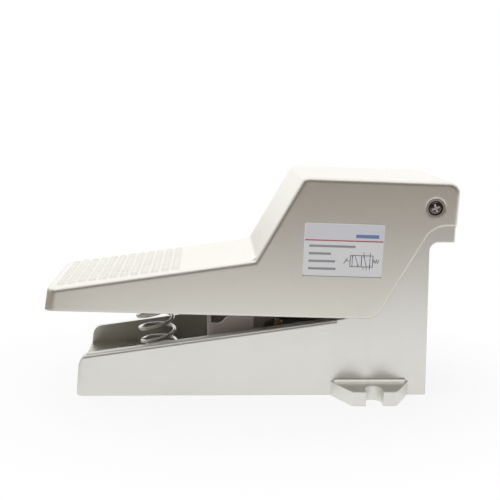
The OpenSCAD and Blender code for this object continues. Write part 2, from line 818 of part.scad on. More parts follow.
module valve_body() {
    passage_x = boss_x - port_l - spool_x;
    color("silver")
        difference() {
            union() {
                translate([valve_front, -valve_w / 2, valve_z])
                    cube([valve_rear - valve_front, valve_w, valve_h]);
                translate([rear_inner - 1, -boss_w / 2, port_z - boss_h / 2])
                    cube([boss_x - rear_inner + 1, boss_w, boss_h]);
            }
            translate([spool_x, 0, valve_z - 1]) cylinder(d = bore_d, h = valve_h + 2);
            for (i = [0 : 4])
                translate([boss_x, port_at(i).x, port_at(i).y])
                    rotate([0, -90, 0]) {
                        cylinder(d = port_d, h = port_l);
                        translate([0, 0, -0.01]) cylinder(d1 = port_d + 2.2, d2 = port_d, h = 1.1);
                        translate([0, 0, port_l - passage_d / 2])
                            rotate([sign(port_at(i).x) * atan2(port_columns / 2, passage_x), 0, 0])
                                cylinder(d = passage_d, h = norm([port_columns / 2, passage_x]) - 1);
                    }
            for (x = tie_x, s = [-1, 1])
                translate([x, s * tie_y, valve_z - 1]) cylinder(d = tie_d + 0.3, h = valve_h + 2);
        }
}

module cap_plate(z, t) {
    difference() {
        translate([valve_front, -valve_w / 2, z]) cube([valve_rear - valve_front, valve_w, t]);
        for (x = tie_x, s = [-1, 1])
            translate([x, s * tie_y, z - 1]) cylinder(d = tie_d + 0.3, h = t + 2);
    }
}

module valve_top_cap() {
    color("#333438")
        difference() {
            cap_plate(valve_top, top_cap_t);
            translate([spool_x, 0, valve_top - 1])
                cylinder(d = plunger_d + 2 * running_gap, h = top_cap_t + 2);
            translate([spool_x, 0, valve_top + 2]) cylinder(d = plunger_d + 3.4, h = 2);
        }
}

module valve_bottom_cap() {
    color("#333438")
        difference() {
            cap_plate(floor_z, bottom_cap_t);
            translate([spool_x, 0, valve_z - 3.5]) cylinder(d = 10.4, h = 5);
            translate([spool_x, 0, valve_z - 1.4])
                difference() {
                    cylinder(d = bore_d + 5, h = 3);
                    translate([0, 0, -1]) cylinder(d = bore_d + 0.8, h = 5);
                }
        }
}

module tie_bolts() {
    top = valve_top + top_cap_t;
    color("slategrey")
        for (x = tie_x, s = [-1, 1])
            translate([x, s * tie_y, 0])
                difference() {
                    union() {
                        translate([0, 0, 5]) cylinder(d = tie_d, h = top - 5 + 1);
                        translate([0, 0, top]) cylinder(d = tie_d + 3, h = 3.4);
                        translate([0, 0, top + 3.4]) cylinder(d1 = tie_d + 3, d2 = tie_d + 1.8, h = 0.6);
                    }
                    translate([0, 0, top + 1.8]) cylinder(d = tie_d * 0.86, h = 4, $fn = 6);
                }
}

// Ring of round section
module o_ring(p, mean_r, d) {
    translate([p.x, 0, p.y])
        rotate_extrude()
            translate([mean_r, 0]) circle(d = d, $fn = 24);
}

module plunger_seal() {
    color("#202022") o_ring([spool_x, valve_top + 3], plunger_d / 2 + 0.86, 1.6);
}

module cap_seal() {
    color("#202022") o_ring([spool_x, valve_z - 0.7], bore_d / 2 + 1.45, 1.34);
}

seal_at = [-2.5, -1.55, -0.62, 0.62, 1.55, 2.5] * port_step;

module spool() {
    groove_r = spool_r - seal_d - 0.05;
    land = 4.6;
    groove = 2.1;
    waist = bore_d * 0.31;
    sides = [
        for (z = seal_at)
            each [
                [waist, z - land / 2], [spool_r, z - land / 2],
                [spool_r, z - groove / 2], [groove_r, z - groove / 2],
                [groove_r, z + groove / 2], [spool_r, z + groove / 2],
                [spool_r, z + land / 2], [waist, z + land / 2]
            ]
    ];
    top = plunger_top - spool_mid;
    color("gold")
        translate([spool_x, 0, spool_mid])
            rotate_extrude()
                polygon(concat(
                    [[0, spool_pocket - spool_half], [waist, spool_pocket - spool_half], [waist, -spool_half]],
                    [[spool_r - 0.5, -spool_half], [spool_r, 0.5 - spool_half]],
                    [for (i = [1 : len(sides) - 2]) sides[i]],
                    [[spool_r, spool_half - 0.5], [spool_r - 0.5, spool_half], [plunger_d / 2, spool_half]],
                    [[plunger_d / 2, top - 0.8], [plunger_d / 2 - 0.8, top], [0, top]]
                ));
}

module spool_seals() {
    color("#202022")
        for (z = seal_at) o_ring([spool_x, spool_mid + z], spool_r - seal_d / 2, seal_d - 0.06);
}

module spool_spring() {
    low = valve_z - 3.5 + 0.1;
    high = spool_mid - spool_half + spool_pocket - 0.1;
    color("gainsboro")
        translate([spool_x, 0, low]) tube(coil_path(bore_d * 0.31 - 0.85, 1, 7, high - low, 0, 14), 1, 6);
}

module pusher_bolt() {
    arc_end = asin(pusher_d / 2 / dome_r);
    top = hood_z - pedal_wall - 2 - pusher_mid.y;
    color("slategrey")
        at_rest()
            translate([pusher_mid.x, 0, pusher_mid.y])
                rotate_extrude()
                    polygon(concat(
                        [for (k = [0 : 8]) dome_r * [sin(arc_end * k / 8), -cos(arc_end * k / 8)]],
                        [[pusher_d / 2, top - 0.8], [pusher_d / 2 - 0.8, top], [0, top]]
                    ));
}

module pusher_nut() {
    color("slategrey")
        at_rest()
            translate([pusher_mid.x, 0, boss_end_z - nut_h])
                difference() {
                    cylinder(d = pusher_d * 1.88, h = nut_h, $fn = 6);
                    translate([0, 0, -1]) cylinder(d = pusher_d + 2 * hole_gap, h = nut_h + 2);
                }
}

bracket_screw_x = [bracket_front + 8.5, bracket_rear + 5.5];

// Plan of the bracket's bent wall: outer face for d = 0, inner face for d = sheet_t
function bracket_plan(d, back) =
    let (
        x0 = bracket_front + d,
        y = bracket_w / 2 - d,
        r = bend_r - d,
        far_x = bracket_rear + far_cheek_more + back
    )
    rounded([
        [bracket_rear + back, -y, 0],
        [x0, -y, r],
        [x0, y, r],
        [far_x, y, 0],
        [far_x, 0, 0],
        [bracket_rear + back, 0, 0]
    ]);

// Bent sheet: a foot on the floor, a front and two cheeks for the pin, a tab for the lock spring
module lock_bracket() {
    top = floor_z + bracket_h;
    far_x = bracket_rear + far_cheek_more;
    side = rounded([
        [bracket_front - 1, floor_z, 0],
        [far_x + 1, floor_z, 0],
        [far_x + 1, top + 1.5, 0],
        [bracket_front + 12, top + 1.5, 4],
        [bracket_front + 8, top - 3, 4],
        [bracket_front - 1, top - 3, 0]
    ]);
    color("mistyrose")
        difference() {
            union() {
                intersection() {
                    translate([0, 0, floor_z])
                        linear_extrude(bracket_h + 5)
                            difference() {
                                polygon(bracket_plan(0, 0));
                                polygon(bracket_plan(sheet_t, 1));
                            }
                    across(side, bracket_w + 2);
                }
                translate([0, 0, floor_z]) linear_extrude(sheet_t) polygon(bracket_plan(0.5, 0));
                translate([bracket_rear - 1, -6, floor_z])
                    cube([anchor.x - bracket_rear + 4, 12, sheet_t]);
                translate([anchor.x - 3, -hook_sheet_t / 2, floor_z]) cube([6, hook_sheet_t, sheet_t + 5.5]);
            }
            bar(pin, pin_d + 2 * hole_gap, bracket_w + 2);
            bar(anchor, hook_hole_d, 6);
            for (x = bracket_screw_x)
                translate([x, 0, floor_z - 1]) cylinder(d = tie_d + 0.3, h = sheet_t + 2);
        }
}

module bracket_screws() {
    top = floor_z + sheet_t;
    color("slategrey")
        for (x = bracket_screw_x)
            translate([x, 0, 0])
                difference() {
                    rotate_extrude()
                        polygon([
                            [0, 6], [tie_d / 2, 6], [tie_d / 2, top], [tie_d / 2 + 1.7, top],
                            [tie_d / 2 + 1.7, top + 1.2], [tie_d / 2 + 0.6, top + 2.4], [0, top + 2.4]
                        ]);
                    for (a = [0, 90])
                        rotate([0, 0, a])
                            translate([-tie_d / 2, -0.5, top + 1.2]) cube([tie_d, 1, 3]);
                }
}

module lock_pin() {
    head_t = 2;
    out = 3.4;
    color("goldenrod")
        difference() {
            union() {
                bar(pin, pin_d, bracket_w + out + 1, out / 2 - 0.5);
                bar(pin, pin_d + 3, head_t, -(bracket_w + head_t) / 2);
            }
            difference() {
                bar(pin, pin_d + 2, 1, bracket_w / 2 + 1.1);
                bar(pin, pin_d - 1.4, 3, bracket_w / 2 + 1.1);
            }
        }
}

module pin_clip() {
    y = bracket_w / 2 + 1.1;
    color("dimgrey")
        difference() {
            bar(pin, pin_d + 4, 0.8, y);
            bar(pin, pin_d - 1.3, 2, y);
            translate([pin.x - 1.5, y - 1, pin.y - pin_d - 3]) cube([3, 2, pin_d + 3]);
        }
}

// Lever with a claw over the striker and a tail for its spring, drawn where it holds the pedal
module lock_lever() {
    r = pin_d / 2;
    front = claw.x + r + 0.7;
    under = claw.y + r + 0.5;
    color("lightslategrey")
        translate([pin.x, 0, pin.y])
            rotate([0, lock_angle, 0])
                difference() {
                    union() {
                        bar([0, 0], pin_d + 6.5, bracket_w - 2 * sheet_t - 0.8);
                        across(rounded([
                            [-4, 2, 0],
                            [4, -4, 0],
                            [front + 6.8, 12, 4],
                            [front + 6.8, under + 6.3, 3],
                            [front - 1, under + 6.3, 0],
                            [claw.x - 2, under + 2.8, 0],
                            [claw.x - 2, under, 0.6],
                            [front, under, 1],
                            [front, 13, 4]
                        ]), lever_t);
                        across(rounded([
                            [6, 10.5, 0],
                            [tail_hole.x, tail_hole.y - 2.5, 1.5],
                            [tail_hole.x + 3, tail_hole.y + 1, 2],
                            [tail_hole.x, tail_hole.y + 3, 2],
                            [6, under, 0]
                        ]), hook_sheet_t);
                    }
                    bar([0, 0], pin_d + 2 * running_gap, bracket_w);
                    bar(tail_hole, hook_hole_d, 10);
                }
}

module lock_striker() {
    color("slategrey") at_rest() bar(striker, pin_d, striker_gap + 2 * rib_t + 1);
}

// Extension spring whose end rings hang in the tab and the lever's tail
module lock_spring() {
    span = tail_rest - anchor;
    length = norm(span);
    ring = [
        for (a = [-120 : 20 : 180])
            lock_mean_r * [0, sin(a), 1 - cos(a)] + [0, 0, hook_lift]
    ];
    turns = 14;
    low = 2 * lock_mean_r + hook_lift + 0.8;
    high = length - low;
    body = [
        for (i = [0 : turns * 10])
            let (a = 36 * i - 90)
            [lock_mean_r * cos(a), lock_mean_r * sin(a), low + (high - low) * i / turns / 10]
    ];
    path = concat(
        ring,
        body,
        [for (i = [len(ring) - 1 : -1 : 0]) [0, ring[i].y, length - ring[i].z]]
    );
    color("goldenrod")
        translate([anchor.x, 0, anchor.y])
            rotate([0, atan2(span.x, span.y), 0]) tube(path, lock_wire, 6);
}

base_casting();
pedal_casting();
name_plate();
pivot_bushes();
pivot_screws();
return_spring();
valve_body();
valve_top_cap();
valve_bottom_cap();
tie_bolts();
plunger_seal();
cap_seal();
spool();
spool_seals();
spool_spring();
pusher_bolt();
pusher_nut();
lock_bracket();
bracket_screws();
lock_pin();
pin_clip();
lock_lever();
lock_striker();
lock_spring();
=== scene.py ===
import json
import math

import bpy
from mathutils import Matrix, Vector


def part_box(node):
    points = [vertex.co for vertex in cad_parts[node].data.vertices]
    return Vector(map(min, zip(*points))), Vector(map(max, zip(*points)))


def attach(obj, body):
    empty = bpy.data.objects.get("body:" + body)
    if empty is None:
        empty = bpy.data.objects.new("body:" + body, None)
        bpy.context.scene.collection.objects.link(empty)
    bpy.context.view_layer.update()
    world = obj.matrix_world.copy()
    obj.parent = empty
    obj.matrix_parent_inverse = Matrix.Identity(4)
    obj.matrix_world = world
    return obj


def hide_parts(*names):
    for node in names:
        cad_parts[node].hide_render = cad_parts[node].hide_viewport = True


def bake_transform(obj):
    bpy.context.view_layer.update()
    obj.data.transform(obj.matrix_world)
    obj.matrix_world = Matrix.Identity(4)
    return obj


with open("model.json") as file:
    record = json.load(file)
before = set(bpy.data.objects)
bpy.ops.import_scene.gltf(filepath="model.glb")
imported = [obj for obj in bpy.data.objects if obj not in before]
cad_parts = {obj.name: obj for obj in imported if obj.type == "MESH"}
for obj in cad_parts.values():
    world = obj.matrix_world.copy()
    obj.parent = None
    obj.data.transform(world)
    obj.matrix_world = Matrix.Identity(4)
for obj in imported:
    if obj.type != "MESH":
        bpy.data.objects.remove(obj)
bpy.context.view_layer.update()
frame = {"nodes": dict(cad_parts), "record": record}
nodes = frame["nodes"]
scene = bpy.context.scene
MM = 0.001


# Places read from the frame, in millimetres
def corners(name):
    """Lowest and highest corner of a node's box at rest."""
    return [[c / MM for c in corner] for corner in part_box(name)]


def middle(name):
    """Middle of a node's box at rest."""
    return [(low + high) / 2 for low, high in zip(*corners(name))]


PIVOT = middle("pivot_bushes")
PLATE = middle("name_plate")
PLATE_FACE_Y, PEDAL_SIDE_Y = [corner[1] for corner in corners("name_plate")]
PLATE_T = PEDAL_SIDE_Y - PLATE_FACE_Y
HEAD_FACE_Y = corners("pivot_screws")[1][1]
BOSS_X = corners("valve_body")[1][0]

# Sizes repeated from the part's source, in millimetres and degrees
REST_TILT = 1.4
PLATE_L = 45.0
PLATE_H = 30.0
CHANNEL_HALF_W = 26.0
CHANNEL_FLOOR_Z = 13.0
CLOSED_PITCH = 1.12
RETURN_LEAN = 8.1
RETURN_FOOT = (-52.94, 16.96)
RETURN_SPAN = 51.62
RETURN_WIRE = 2.3
RETURN_MEAN_R = 10.35
RETURN_PLAY = 0.15
SPOOL_X = 72.0
SPOOL_SPRING_ENDS = (14.6, 32.07)
SPOOL_SPRING_WIRE = 1.0
SPOOL_SPRING_MEAN_R = 3.49
SPOOL_SPRING_TURNS = 7
LOCK_ANCHOR = (18.0, 18.7)
LOCK_TAIL = (20.03, 40.98)
LOCK_WIRE = 0.9
LOCK_MEAN_R = 1.9
LOCK_TURNS = 14
LOCK_EYE_START = -120
LOCK_EYE_END = 180
LOCK_EYE_LIFT = 0.3
LOCK_EYE_GAP = 0.8
PORT_R = 5.9
PORT_COUNT = 5
PORT_OFFSET = 11.0
PORT_STEP = 9.5
PORT_MIDDLE_Z = 49.0

# Turns of the return spring as counted in the photo
RETURN_TURNS = 7.5
RETURN_PHASE = 356

# Edges of the CAD nodes: widths in millimetres, angles in degrees
EDGE_WIDTHS = {
    "base_casting": 0.6, "pedal_casting": 0.3, "valve_body": 0.3, "lock_bracket": 0.3, "lock_lever": 0.4,
    "valve_top_cap": 0.5, "valve_bottom_cap": 0.4, "name_plate": 0.12, "pusher_nut": 0.4, "pin_clip": 0.1,
    "pivot_screws": 0.15, "bracket_screws": 0.15, "tie_bolts": 0.2, "pivot_bushes": 0.2, "lock_pin": 0.3,
    "lock_striker": 0.4,
}
EDGE_ANGLE = 35.0
EDGE_SEGMENTS = 2
FLAT_ANGLE = 0.2
WELD_GAP = 0.001
AREA_WEIGHT = 80

# Detail that is drawn here alone, in millimetres and degrees
THREAD_PITCH = 1.337
THREAD_TURNS = 7
THREAD_START = 1.6
THREAD_DEPTH = 0.55
THREAD_SINK = 0.05
THREAD_HALF_W = 0.465 * THREAD_PITCH
RECESS_TURN = 20
RECESS_HALF_W = 0.5
RECESS_REACH = 2.3
RECESS_RIM_DEPTHS = (0.05, 0.2)
RECESS_DEPTH = 0.9
RECESS_TOE_REACH = 2.0
RECESS_TOE_DEPTH = 0.6

# Print on the name plate, in millimetres from its middle
PRINT_INSET = 0.5
BAND_LIFT = 0.02
INK_LIFT = 0.03
ARROW_HEAD_LIFT = 0.034
HEADER_H = 8.8
RULE_W = 0.7
TEXT_INSET = 2.5
TITLE_L = 13.0
TITLE_W = 2.0
TITLE_DROP = 6.4
BAR_LENGTHS = (26.0, 12.5, 15.0, 15.5)
BAR_W = 1.3
BAR_DROP = 3.6
BAR_STEP = 4.3
# Width of the dark strip painted as the plate's shadow under its lower edge
SHADOW_LINE_W = 0.36
SYMBOL_CORNER = (4.0, -9.2)
SYMBOL_BOX = 6.4
SYMBOL_PORTS = (1.2, 3.0, 4.8)
SYMBOL_SLANT = 2.6
SYMBOL_TICK = 1.8
OUTLINE_W = 0.35
STROKE_W = 0.3
ARROW_HEAD_L = 1.1
ARROW_HEAD_HALF_W = 0.5
ZIGZAG_W = 0.28
ZIGZAG_STEP = 0.7
ZIGZAG_H = 1.1
ZIGZAG_POINTS = 6
ROD_L = 2.6
LEVER_W = 0.4
LEVER_REACH = 1.0
LEVER_H = 1.6

# How far behind the channel's walls and floor its painted shade fades in, in millimetres
WALL_FADE = (0.4, 0.1)
FLOOR_FADE = (1.0, 0.5)

# Range of a noise's values that a ramp spreads out
NOISE_MIDDLE = (0.3, 0.7)

# Sockets of a colour mix node
MIX_INPUTS = (0, 6, 7)
MIX_RESULT = 2


# Node materials
class Nodes:
    """Short way to write a node material."""

    def __init__(self, name):
        self.mat = bpy.data.materials.new(name)
        self.mat.use_nodes = True
        self.tree = self.mat.node_tree
        self.tree.nodes.clear()
        self.out = self.add("ShaderNodeOutputMaterial")
        self.shader = self.add("ShaderNodeBsdfPrincipled")
        self.link(self.shader.outputs[0], self.out.inputs[0])
        self.coord = self.add("ShaderNodeTexCoord").outputs["Object"]

    def add(self, kind, **values):
        node = self.tree.nodes.new(kind)
        for key, value in values.items():
            setattr(node, key, value)
        return node

    def link(self, a, b):
        self.tree.links.new(a, b)

    def put(self, socket, value):
        """Links a socket, or sets a colour or a number on it."""
        if isinstance(value, bpy.types.NodeSocket):
            self.link(value, socket)
        elif isinstance(value, tuple):
            socket.default_value = (*value, 1.0)
        else:
            socket.default_value = value

    def stretch(self, scale):
        n = self.add("ShaderNodeMapping")
        self.link(self.coord, n.inputs["Vector"])
        n.inputs["Scale"].default_value = scale
        return n.outputs[0]

    def split(self, vector):
        n = self.add("ShaderNodeSeparateXYZ")
        self.link(vector, n.inputs[0])
        return n.outputs

    def noise(self, scale, detail=2.0, rough=0.5, vector=None):
        n = self.add("ShaderNodeTexNoise")
        self.link(vector or self.coord, n.inputs["Vector"])
        n.inputs["Scale"].default_value = scale
        n.inputs["Detail"].default_value = detail
        n.inputs["Roughness"].default_value = rough
        return n.outputs["Fac"]

    def cloud(self, scale, high=1.0):
        """Soft patches from 0 to high."""
        return self.ramp(self.noise(scale), *NOISE_MIDDLE, high=high)

    def cells(self, scale):
        n = self.add("ShaderNodeTexVoronoi")
        self.link(self.coord, n.inputs["Vector"])
        n.inputs["Scale"].default_value = scale
        return n.outputs["Color"]

    def ramp(self, value, start, stop, low=0.0, high=1.0):
        """Runs from low to high while the value runs from start to stop."""
        n = self.add("ShaderNodeMapRange")
        self.link(value, n.inputs["Value"])
        n.inputs["From Min"].default_value = start
        n.inputs["From Max"].default_value = stop
        n.inputs["To Min"].default_value = low
        n.inputs["To Max"].default_value = high
        return n.outputs["Result"]

    def mix(self, share, a, b):
        n = self.add("ShaderNodeMix", data_type="RGBA")
        for index, value in zip(MIX_INPUTS, (share, a, b)):
            self.put(n.inputs[index], value)
        return n.outputs[MIX_RESULT]

    def mix_shaders(self, share, a, b):
        n = self.add("ShaderNodeMixShader")
        for socket, value in zip(n.inputs, (share, a, b)):
            self.link(value, socket)
        return n.outputs[0]

    def math(self, op, a, b=0.0):
        n = self.add("ShaderNodeMath", operation=op)
        self.put(n.inputs[0], a)
        self.put(n.inputs[1], b)
        return n.outputs[0]

    def bump(self, height, strength, distance, normal=None):
        n = self.add("ShaderNodeBump")
        self.link(height, n.inputs["Height"])
        n.inputs["Strength"].default_value = strength
        n.inputs["Distance"].default_value = distance
        if normal is not None:
            self.link(normal, n.inputs["Normal"])
        return n.outputs["Normal"]

    def rays(self):
        """Masks of the rays that see the backdrop straight and of those that a surface mirrors."""
        path = self.add("ShaderNodeLightPath").outputs
        direct = self.math("MAXIMUM", path["Is Camera Ray"], path["Is Transmission Ray"])
        return direct, path["Is Glossy Ray"]

    def set(self, **values):
        """Sets the main shader's sockets and returns the material."""
        for key, value in values.items():
            self.put(self.shader.inputs[key.replace("_", " ")], value)
        return self.mat


# Materials by name; the functions below add to them
MATS = {}


def cast_metal(name, light, dark, speck, rounding, channel_shade=None):
    """Silver sprayed die casting: fine grain, tiny bright flakes, and a darker colour inside the channel as
    painted shade under the pedal.
    """
    n = Nodes(name)
    grain = n.noise(scale=2600.0, detail=3.0, rough=0.65)
    flake = n.cells(scale=2400.0)
    colour = n.mix(n.cloud(scale=14.0, high=0.3), light, dark)
    colour = n.mix(n.ramp(grain, start=0.42, stop=0.66, high=0.45), colour, dark)
    colour = n.mix(n.ramp(flake, start=0.6, stop=0.95, high=0.35), colour, speck)
    # Painted shade: the channel's inside gets a darker colour where the pedal shades it
    if channel_shade:
        colour = n.mix(channel_shade_mask(n), colour, channel_shade)
    edge = n.add("ShaderNodeBevel", samples=6)
    edge.inputs["Radius"].default_value = rounding * MM
    normal = n.bump(n.noise(scale=420.0), strength=0.06, distance=0.0004, normal=edge.outputs["Normal"])
    normal = n.bump(grain, strength=0.15, distance=0.00015, normal=normal)
    rough = n.ramp(flake, start=0.2, stop=0.8, low=0.30, high=0.44)
    MATS[name] = n.set(Base_Color=colour, Metallic=0.85, Roughness=rough, Normal=normal)


def channel_shade_mask(n):
    """Where the channel's painted shade goes: 1 inside the base's channel, fading out just behind its walls
    and floor.
    """
    place = n.split(n.coord)
    across = n.ramp(n.math("ABSOLUTE", place["Y"]), *((CHANNEL_HALF_W + fade) * MM for fade in WALL_FADE))
    above = n.ramp(place["Z"], *((CHANNEL_FLOOR_Z - fade) * MM for fade in FLOOR_FADE))
    return n.math("MULTIPLY", across, above)


def plated_steel(name, colour, shade, rough=(0.25, 0.42), stretch=(1, 1, 1), metal=1.0, painted_highlight=None):
    """Metal with fine tool marks along the stretched axis, soft staining, and a painted highlight on faces
    that don't face sideways when a highlight colour is given.
    """
    n = Nodes(name)
    streak = n.noise(scale=900.0, detail=3.0, rough=0.6, vector=n.stretch(stretch))
    tint = n.mix(n.cloud(scale=60.0), colour, shade)
    tint = n.mix(n.ramp(streak, start=0.45, stop=0.75, high=0.35), tint, shade)
    # Painted highlight: faces that don't face along Y, the sheet's edges among them, get a pale colour
    if painted_highlight:
        facing = n.split(n.add("ShaderNodeNewGeometry").outputs["Normal"])
        sideways = n.ramp(n.math("ABSOLUTE", facing["Y"]), start=0.4, stop=0.8)
        tint = n.mix(sideways, painted_highlight, tint)
    normal = n.bump(streak, strength=0.12, distance=0.0002)
    gloss = n.ramp(streak, *NOISE_MIDDLE, *rough)
    MATS[name] = n.set(Base_Color=tint, Metallic=metal, Roughness=gloss, Normal=normal)


def moulded(name, colour, shade, rough):
    """Plastic, rubber or ink with a fine grain."""
    n = Nodes(name)
    grain = n.noise(scale=900.0, detail=3.0, rough=0.6)
    tint = n.mix(n.cloud(scale=40.0), colour, shade)
    normal = n.bump(grain, strength=0.25, distance=0.0003)
    gloss = n.ramp(grain, *NOISE_MIDDLE, low=rough - 0.08, high=rough + 0.1)
    MATS[name] = n.set(Base_Color=tint, Roughness=gloss, Normal=normal)


# Castings and metals
cast_metal("pedal_cast", light=(0.925, 0.91, 0.845), dark=(0.765, 0.75, 0.69), speck=(0.955, 0.945, 0.90),
           rounding=1.8)
# The base's channel gets a darker colour as painted shade
cast_metal("base_cast", light=(0.935, 0.93, 0.885), dark=(0.78, 0.775, 0.725), speck=(0.96, 0.955, 0.93),
           rounding=0.7, channel_shade=(0.60, 0.59, 0.54))
plated_steel("steel_dark", (0.20, 0.20, 0.205), (0.10, 0.10, 0.105))
plated_steel("steel_zinc", (0.50, 0.50, 0.51), (0.34, 0.34, 0.35))
plated_steel("bush_steel", (0.66, 0.62, 0.58), (0.52, 0.48, 0.45), rough=(0.34, 0.5))
plated_steel("screw_steel", (0.26, 0.235, 0.22), (0.15, 0.135, 0.125), rough=(0.2, 0.34))
# Near white for the screw recesses: a painted highlight in the dark screw heads
plated_steel("recess_highlight_steel", (0.93, 0.90, 0.87), (0.80, 0.77, 0.74), rough=(0.3, 0.5), metal=0.6)
plated_steel("spring_steel", (0.78, 0.77, 0.74), (0.66, 0.65, 0.62), rough=(0.16, 0.26))
plated_steel("valve_alu", (0.70, 0.70, 0.71), (0.58, 0.58, 0.59), rough=(0.28, 0.42), stretch=(1, 1, 0.06))
plated_steel("spool_alu", (0.74, 0.70, 0.55), (0.62, 0.58, 0.45))
# The bracket's sheet gets a painted highlight on its edges and other faces that don't face sideways
plated_steel("sheet_zinc", (0.74, 0.645, 0.59), (0.63, 0.545, 0.50), rough=(0.42, 0.58), stretch=(1, 1, 0.2),
             metal=0.1, painted_highlight=(0.93, 0.92, 0.89))
plated_steel("brass", (0.68, 0.48, 0.20), (0.50, 0.34, 0.12))
plated_steel("yellow_spring", (0.88, 0.68, 0.42), (0.74, 0.54, 0.30), rough=(0.25, 0.4))

# Plastic, rubber and print
moulded("plate", (0.95, 0.95, 0.955), (0.93, 0.93, 0.94), rough=0.35)
moulded("cap_black", (0.03, 0.03, 0.033), (0.02, 0.02, 0.022), rough=0.5)
moulded("seal", (0.02, 0.02, 0.02), (0.012, 0.012, 0.012), rough=0.6)
moulded("print_header", (0.86, 0.85, 0.90), (0.83, 0.82, 0.88), rough=0.35)
moulded("print_red", (0.62, 0.13, 0.13), (0.54, 0.10, 0.10), rough=0.4)
moulded("print_dark", (0.10, 0.11, 0.17), (0.07, 0.08, 0.13), rough=0.45)
moulded("print_grey", (0.40, 0.40, 0.43), (0.35, 0.35, 0.38), rough=0.45)
moulded("print_blue", (0.22, 0.30, 0.60), (0.18, 0.26, 0.54), rough=0.45)
# Dark strip under the plate's lower edge: a painted shadow
moulded("plate_shadow_line", (0.24, 0.23, 0.22), (0.18, 0.17, 0.16), rough=0.6)

# Finish of each CAD node: its slot's material, or its own
OWN_FINISH = {"pivot_bushes": "bush_steel", "pivot_screws": "screw_steel"}
for part in frame["record"]["subparts"]:
    mesh = nodes[part["node"]].data
    mesh.materials.clear()
    mesh.materials.append(MATS[OWN_FINISH.get(part["node"], part["material_slot"])])


# Softer edges
def soften(name, width):
    """Rounds a CAD node's sharp edges with modifiers and smooths its curved faces."""
    obj = nodes[name]
    mesh = obj.data
    mesh.polygons.foreach_set("use_smooth", [True] * len(mesh.polygons))
    weld = obj.modifiers.new("weld", "WELD")
    weld.merge_threshold = WELD_GAP * MM
    flat = obj.modifiers.new("flat", "DECIMATE")
    flat.decimate_type = "DISSOLVE"
    flat.angle_limit = math.radians(FLAT_ANGLE)
    bevel = obj.modifiers.new("bevel", "BEVEL")
    bevel.width = width * MM
    bevel.segments = EDGE_SEGMENTS
    bevel.limit_method = "ANGLE"
    bevel.angle_limit = math.radians(EDGE_ANGLE)
    bevel.use_clamp_overlap = True
    even = obj.modifiers.new("even", "WEIGHTED_NORMAL")
    even.mode = "FACE_AREA"
    even.weight = AREA_WEIGHT


for node_name, edge_width in EDGE_WIDTHS.items():
    soften(node_name, edge_width)


# Pieces
def piece(name, verts, faces, materials, smooth=True, face_slots=None):
    """A mesh object from points in millimetres."""
    mesh = bpy.data.meshes.new(name)
    mesh.from_pydata([tuple(c * MM for c in v) for v in verts], [], faces)
    for mat in materials:
        mesh.materials.append(mat)
    mesh.polygons.foreach_set("use_smooth", [smooth] * len(mesh.polygons))
    if face_slots:
        mesh.polygons.foreach_set("material_index", face_slots)
    mesh.validate()
    mesh.update()
    obj = bpy.data.objects.new(name, mesh)
    scene.collection.objects.link(obj)
    return obj


def tube_faces(first, rings, sides):
    """Side faces between rings of points that follow each other from the point numbered first."""
    faces = []
    for i in range(rings - 1):
        ring = first + i * sides
        for k in range(sides):
            n = (k + 1) % sides
            faces.append((ring + k, ring + n, ring + sides + n, ring + sides + k))
    return faces


def wire(path, radius, sides):
    """Points and faces of a round wire along a path, with domed ends."""
    path = [Vector(p) for p in path]
    last = len(path) - 1
    dirs = [(path[min(i + 1, last)] - path[max(i - 1, 0)]).normalized() for i in range(last + 1)]
    steep = abs(dirs[0].z) >= 0.8
    up = dirs[0].cross(Vector((1, 0, 0)) if steep else Vector((0, 0, 1))).normalized()
    rings = []
    for p, d in zip(path, dirs):
        up = (up - d * up.dot(d)).normalized()
        rings.append((p, d, up, radius))

    def dome(ring, outward):
        """Ever smaller rings past an end of the wire, at three angles in radians."""
        p, d, u, r = ring
        return [(p + d * outward * r * math.sin(a), d, u, r * math.cos(a)) for a in (0.5, 1.0, 1.35)]

    rings = dome(rings[0], -1)[::-1] + rings + dome(rings[-1], 1)
    verts = []
    for p, d, u, r in rings:
        side = d.cross(u)
        for k in range(sides):
            a = 2 * math.pi * k / sides
            verts.append(p + r * (u * math.cos(a) + side * math.sin(a)))
    faces = tube_faces(0, len(rings), sides)
    faces.append(tuple(range(sides - 1, -1, -1)))
    faces.append(tuple(range(len(verts) - sides, len(verts))))
    return verts, faces


def coil(mean_r, wire_d, turns, height, phase, steps):
    """Centre line of a compression spring that stands on z = 0, with closed end turns."""
    closed = CLOSED_PITCH * wire_d
    rise = (height - wire_d - 2 * closed) / (turns - 2)
    points = []
    for i in range(int(turns * steps) + 1):
        t = i / steps
        if t < 1:
            z = closed * t
        elif t > turns - 1:
            z = height - wire_d - closed * (turns - t)
        else:
            z = closed + rise * (t - 1)
        a = math.radians(phase + 360 * t)
        points.append((mean_r * math.cos(a), mean_r * math.sin(a), wire_d / 2 + z))
    return points


def leaned(points, foot, lean):
    """Points of a local upright frame, leaned forward about Y and set on foot."""
    c, s = math.cos(math.radians(lean)), math.sin(math.radians(lean))
    return [(foot[0] + x * c - z * s, y, foot[1] + x * s + z * c) for x, y, z in points]


def sprung(name, node, slot, verts, faces):
    """A spring piece that stands for its CAD node, which it hides."""
    obj = piece(name, verts, faces, [MATS[slot]])
    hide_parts(node)
    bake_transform(obj)


def return_spring():
    """Spring between the base's floor and the tread."""
    height = RETURN_SPAN - 2 * RETURN_PLAY
    turns = coil(RETURN_MEAN_R, RETURN_WIRE, RETURN_TURNS, height, RETURN_PHASE, steps=40)
    path = [(x, y, z + RETURN_PLAY) for x, y, z in turns]
    verts, faces = wire(leaned(path, RETURN_FOOT, RETURN_LEAN), RETURN_WIRE / 2, sides=16)
    sprung("return_spring_wire", "return_spring", "spring_steel", verts, faces)


